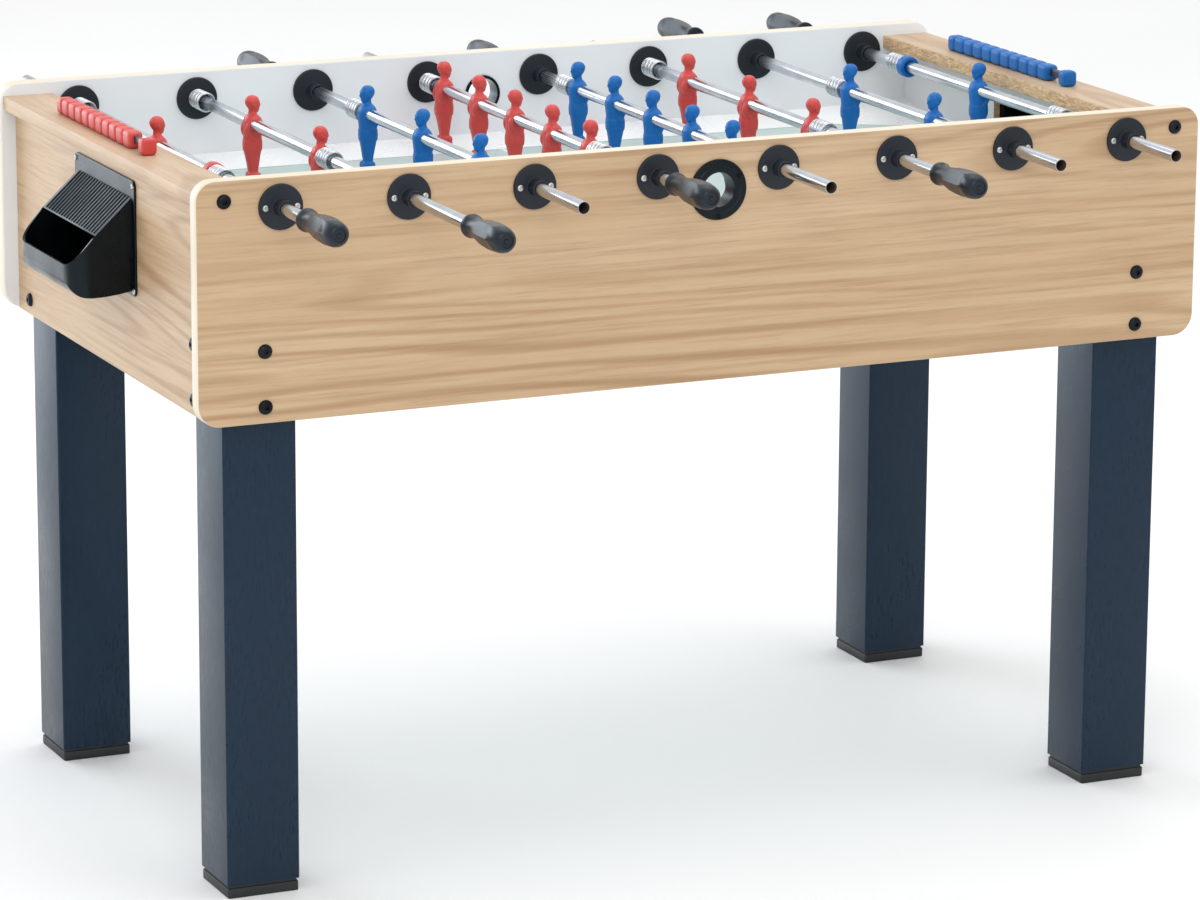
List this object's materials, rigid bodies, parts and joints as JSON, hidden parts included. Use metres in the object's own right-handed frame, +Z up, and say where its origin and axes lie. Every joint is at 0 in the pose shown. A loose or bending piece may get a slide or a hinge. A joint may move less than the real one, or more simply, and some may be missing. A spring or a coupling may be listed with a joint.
{
  "type": "foosball table",
  "caption": "Free-standing foosball table: wooden cabinet on box legs, sliding and spinning player rods, end ball returns and bead scorers.",
  "frame": {"origin": "on the floor, at the centre of the four legs", "axes": "+X along the table towards the blue goal (the right end), +Y towards the player who holds the blue rods, +Z up"},
  "size_m": [1.488, 1.335, 0.901],
  "materials": {
    "oak_laminate": "satin oak-print laminate, white on the inner faces",
    "leg_wrap": "slate blue-grey foil with a fine grain",
    "foot_plastic": "matte black",
    "field_print": "pale grey-green printed board",
    "bare_wood": "raw softwood",
    "white_plastic": "smooth white",
    "return_plastic": "glossy black with a ribbed hood",
    "black_bolt": "black oxide",
    "zinc": "bright zinc",
    "bearing_plastic": "moulded black",
    "dark_bar": "dark painted bar",
    "spring_wire": "bright wire",
    "red_plastic": "moulded red",
    "blue_plastic": "moulded blue",
    "chrome_tube": "chromed steel",
    "handle_plastic": "moulded black grip"
  },
  "bodies": {
    "table": {"side_panel_front": "oak_laminate", "side_panel_back": "oak_laminate", "end_panel_left": "oak_laminate", "end_panel_right": "oak_laminate", "top_board_left": "oak_laminate", "top_board_right": "oak_laminate", "leg_front_left": "leg_wrap", "leg_front_right": "leg_wrap", "leg_back_left": "leg_wrap", "leg_back_right": "leg_wrap", "leg_feet": "foot_plastic", "playfield": "field_print", "field_battens": "bare_wood", "field_edge_ramps": "white_plastic", "ball_return_left": "return_plastic", "ball_return_right": "return_plastic", "panel_bolts": "black_bolt", "bolt_nuts": "zinc", "zinc_screws": "zinc", "serve_cup_screws": "black_bolt", "rod_bearings": "bearing_plastic", "serve_cups": "bearing_plastic", "scorer_bars": "dark_bar", "wall_springs": "spring_wire", "scorer_blocks_red": "red_plastic", "scorer_blocks_blue": "blue_plastic"},
    "rod_1_slider": {"rod_1_spring": "spring_wire"},
    "rod_1_spinner": {"rod_1_tube": "chrome_tube", "rod_1_players": "red_plastic", "rod_1_handle": "handle_plastic"},
    "rod_2_slider": {"rod_2_spring": "spring_wire"},
    "rod_2_spinner": {"rod_2_tube": "chrome_tube", "rod_2_players": "red_plastic", "rod_2_handle": "handle_plastic"},
    "rod_3_slider": {"rod_3_spring": "spring_wire"},
    "rod_3_spinner": {"rod_3_tube": "chrome_tube", "rod_3_players": "blue_plastic", "rod_3_handle": "handle_plastic"},
    "rod_4_slider": {"rod_4_spring": "spring_wire"},
    "rod_4_spinner": {"rod_4_tube": "chrome_tube", "rod_4_players": "red_plastic", "rod_4_handle": "handle_plastic"},
    "rod_5_slider": {"rod_5_spring": "spring_wire"},
    "rod_5_spinner": {"rod_5_tube": "chrome_tube", "rod_5_players": "blue_plastic", "rod_5_handle": "handle_plastic"},
    "rod_6_slider": {"rod_6_spring": "spring_wire"},
    "rod_6_spinner": {"rod_6_tube": "chrome_tube", "rod_6_players": "red_plastic", "rod_6_handle": "handle_plastic"},
    "rod_7_slider": {"rod_7_spring": "spring_wire"},
    "rod_7_spinner": {"rod_7_tube": "chrome_tube", "rod_7_players": "blue_plastic", "rod_7_handle": "handle_plastic"},
    "rod_8_slider": {"rod_8_spring": "spring_wire"},
    "rod_8_spinner": {"rod_8_tube": "chrome_tube", "rod_8_players": "blue_plastic", "rod_8_handle": "handle_plastic"},
    "score_row_red": {"scorer_beads_red": "red_plastic"},
    "score_row_blue": {"scorer_beads_blue": "blue_plastic"}
  },
  "joints": [
    {"name": "rod_1_slide", "type": "slide", "parent": "table", "child": "rod_1_slider", "axis": [0, 1, 0], "range_m": [-0.156, 0.063]},
    {"name": "rod_1_spin", "type": "hinge", "parent": "rod_1_slider", "child": "rod_1_spinner", "pos_m": [-0.574, 0, 0.86], "axis": [0, 1, 0], "range_deg": [-46, 56]},
    {"name": "rod_2_slide", "type": "slide", "parent": "table", "child": "rod_2_slider", "axis": [0, 1, 0], "range_m": [-0.113, 0.155]},
    {"name": "rod_2_spin", "type": "hinge", "parent": "rod_2_slider", "child": "rod_2_spinner", "pos_m": [-0.41, 0, 0.86], "axis": [0, 1, 0], "continuous": true},
    {"name": "rod_3_slide", "type": "slide", "parent": "table", "child": "rod_3_slider", "axis": [0, 1, 0], "range_m": [-0.089, 0.143]},
    {"name": "rod_3_spin", "type": "hinge", "parent": "rod_3_slider", "child": "rod_3_spinner", "pos_m": [-0.246, 0, 0.86], "axis": [0, 1, 0], "continuous": true},
    {"name": "rod_4_slide", "type": "slide", "parent": "table", "child": "rod_4_slider", "axis": [0, 1, 0], "range_m": [-0.123, 0.008]},
    {"name": "rod_4_spin", "type": "hinge", "parent": "rod_4_slider", "child": "rod_4_spinner", "pos_m": [-0.082, 0, 0.86], "axis": [0, 1, 0], "continuous": true},
    {"name": "rod_5_slide", "type": "slide", "parent": "table", "child": "rod_5_slider", "axis": [0, 1, 0], "range_m": [-0.053, 0.078]},
    {"name": "rod_5_spin", "type": "hinge", "parent": "rod_5_slider", "child": "rod_5_spinner", "pos_m": [0.082, 0, 0.86], "axis": [0, 1, 0], "continuous": true},
    {"name": "rod_6_slide", "type": "slide", "parent": "table", "child": "rod_6_slider", "axis": [0, 1, 0], "range_m": [-0.157, 0.075]},
    {"name": "rod_6_spin", "type": "hinge", "parent": "rod_6_slider", "child": "rod_6_spinner", "pos_m": [0.246, 0, 0.86], "axis": [0, 1, 0], "continuous": true},
    {"name": "rod_7_slide", "type": "slide", "parent": "table", "child": "rod_7_slider", "axis": [0, 1, 0], "range_m": [-0.134, 0.134]},
    {"name": "rod_7_spin", "type": "hinge", "parent": "rod_7_slider", "child": "rod_7_spinner", "pos_m": [0.41, 0, 0.86], "axis": [0, 1, 0], "continuous": true},
    {"name": "rod_8_slide", "type": "slide", "parent": "table", "child": "rod_8_slider", "axis": [0, 1, 0], "range_m": [-0.127, 0.089]},
    {"name": "rod_8_spin", "type": "hinge", "parent": "rod_8_slider", "child": "rod_8_spinner", "pos_m": [0.574, 0, 0.86], "axis": [0, 1, 0], "range_deg": [-56, 46]},
    {"name": "score_red_slide", "type": "slide", "parent": "table", "child": "score_row_red", "axis": [0, 1, 0], "range_m": [-0.0315, 0]},
    {"name": "score_blue_slide", "type": "slide", "parent": "table", "child": "score_row_blue", "axis": [0, 1, 0], "range_m": [-0.0315, 0]}
  ]
}
